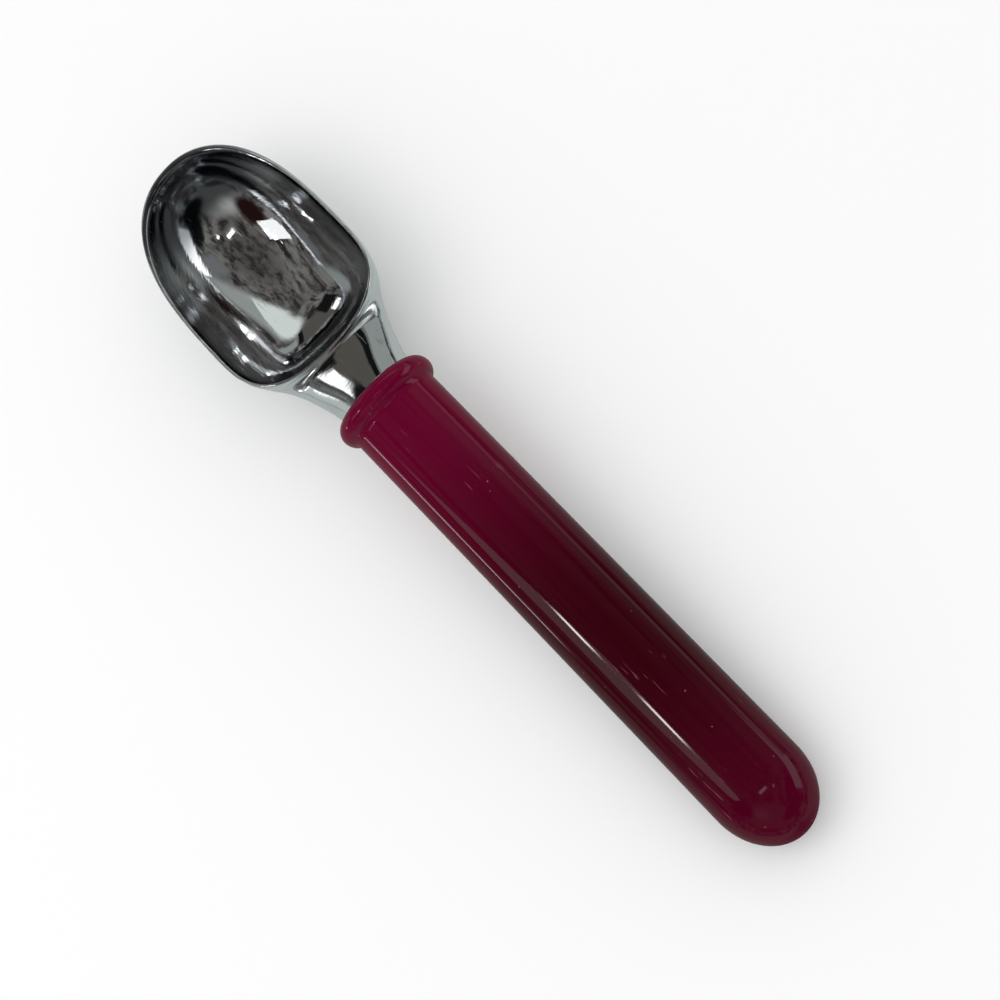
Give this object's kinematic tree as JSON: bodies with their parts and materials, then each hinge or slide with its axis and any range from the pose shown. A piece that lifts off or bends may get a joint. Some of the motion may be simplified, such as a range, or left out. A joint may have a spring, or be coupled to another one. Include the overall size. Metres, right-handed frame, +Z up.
{
  "type": "ice cream scoop",
  "caption": "Non-mechanical ice cream scoop: a chrome-plated cast bowl, neck and tang in one, with a glossy slip-on vinyl grip sleeve rolled at its mouth.",
  "frame": {"origin": "middle of the scoop's footprint, on the table that it lies on", "axes": "+X towards the bowl's nose, +Y to the left of the grip, +Z up out of the bowl's open side"},
  "size_m": [0.214, 0.0432, 0.029],
  "materials": {
    "polished_chrome": "bright chrome plate over a polished casting, with fine scratches",
    "burgundy_vinyl": "smooth glossy dip-moulded vinyl, deep burgundy"
  },
  "bodies": {
    "root": {"scoop_casting": "polished_chrome", "grip_sleeve": "burgundy_vinyl"}
  },
  "joints": []
}
